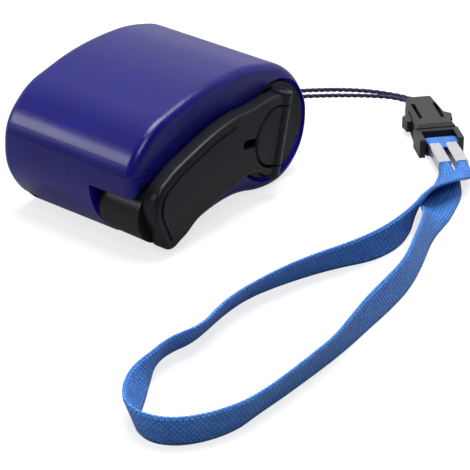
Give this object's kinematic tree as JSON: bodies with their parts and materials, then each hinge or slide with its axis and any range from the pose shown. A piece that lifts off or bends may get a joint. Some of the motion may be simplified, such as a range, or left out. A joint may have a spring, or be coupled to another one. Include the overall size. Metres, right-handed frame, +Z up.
{
  "type": "hand crank phone charger",
  "caption": "Bean-shaped see-through charger that turns a folding side crank through gears into power for a phone, with a wrist strap and buckle.",
  "frame": {"origin": "on the table under the middle of the charger without its strap, halfway between its ends and between its back and the front of the crank's hinge", "axes": "+X runs from the knob end to the hub and lanyard end, -Y is the crank side, +Z is up"},
  "size_m": [0.1668, 0.1077, 0.036],
  "materials": {
    "shell_blue": "frosted see-through moulded plastic",
    "crank_black": "satin black moulded plastic",
    "steel": "plain steel",
    "gear_white": "natural moulded gear plastic",
    "bush_brass": "turned",
    "magnet_grey": "sintered",
    "board_green": "solder-masked board",
    "component_dark": "moulded component bodies",
    "wire_red": "insulated wire",
    "cord_blue": "thin braided cord",
    "buckle_black": "satin moulded plastic",
    "webbing_blue": "flat woven webbing",
    "crimp_silver": "pressed metal"
  },
  "bodies": {
    "housing": {"upper_shell": "shell_blue", "lower_shell": "shell_blue", "shell_screws": "steel", "eye_pin": "steel", "plate_standoffs": "steel", "gear_plate_screws": "steel", "gear_axles": "steel", "generator_can": "steel", "motor_screws": "steel", "usb_shell": "steel", "front_gear_plate": "steel", "back_gear_plate": "steel", "usb_tongue": "gear_white", "hub_bush": "bush_brass", "usb_contacts": "bush_brass", "field_magnets": "magnet_grey", "circuit_board": "board_green", "capacitor": "component_dark", "regulator": "component_dark", "diodes": "component_dark", "generator_cap": "component_dark", "generator_wires": "wire_red", "lanyard_string": "cord_blue", "buckle_socket": "buckle_black", "buckle_plug": "buckle_black", "webbing_tab": "webbing_blue", "wrist_strap": "webbing_blue", "strap_crimps": "crimp_silver"},
    "crank": {"crank_hub": "crank_black", "drive_shaft": "steel", "drive_gear": "gear_white", "shaft_clip": "steel"},
    "arm": {"crank_arm": "crank_black", "hinge_pin": "steel", "knob_screw": "steel"},
    "knob": {"crank_knob": "crank_black"},
    "gear_one": {"compound_gear_one": "gear_white"},
    "gear_two": {"compound_gear_two": "gear_white"},
    "rotor": {"rotor": "steel"}
  },
  "joints": [
    {"name": "crank_spin", "type": "hinge", "parent": "housing", "child": "crank", "pos_m": [0.0189, -0.01645, 0.0155], "axis": [0, -1, 0], "range_deg": [0, 305]},
    {"name": "arm_fold", "type": "hinge", "parent": "crank", "child": "arm", "pos_m": [0.0169, -0.02095, 0.0163], "axis": [0.2351, 0, 0.972], "range_deg": [0, 180]},
    {"name": "knob_spin", "type": "hinge", "parent": "arm", "child": "knob", "pos_m": [-0.0238, -0.01245, 0.0106], "axis": [0, -1, 0], "continuous": true},
    {"name": "gear_one_spin", "type": "hinge", "parent": "housing", "child": "gear_one", "pos_m": [0.00588, -0.00645, 0.02076], "axis": [0, -1, 0], "range_deg": [-1120, 0]},
    {"name": "gear_two_spin", "type": "hinge", "parent": "housing", "child": "gear_two", "pos_m": [-0.00594, -0.00445, 0.01525], "axis": [0, -1, 0], "range_deg": [0, 3730]},
    {"name": "rotor_spin", "type": "hinge", "parent": "housing", "child": "rotor", "pos_m": [-0.01678, 0.00655, 0.0192], "axis": [0, -1, 0], "range_deg": [-13425, 0]}
  ],
  "couplings": [
    {"joint": "gear_one_spin", "follows": "crank_spin", "ratio": -3.6667},
    {"joint": "gear_two_spin", "follows": "crank_spin", "ratio": 12.222},
    {"joint": "rotor_spin", "follows": "crank_spin", "ratio": -44}
  ]
}
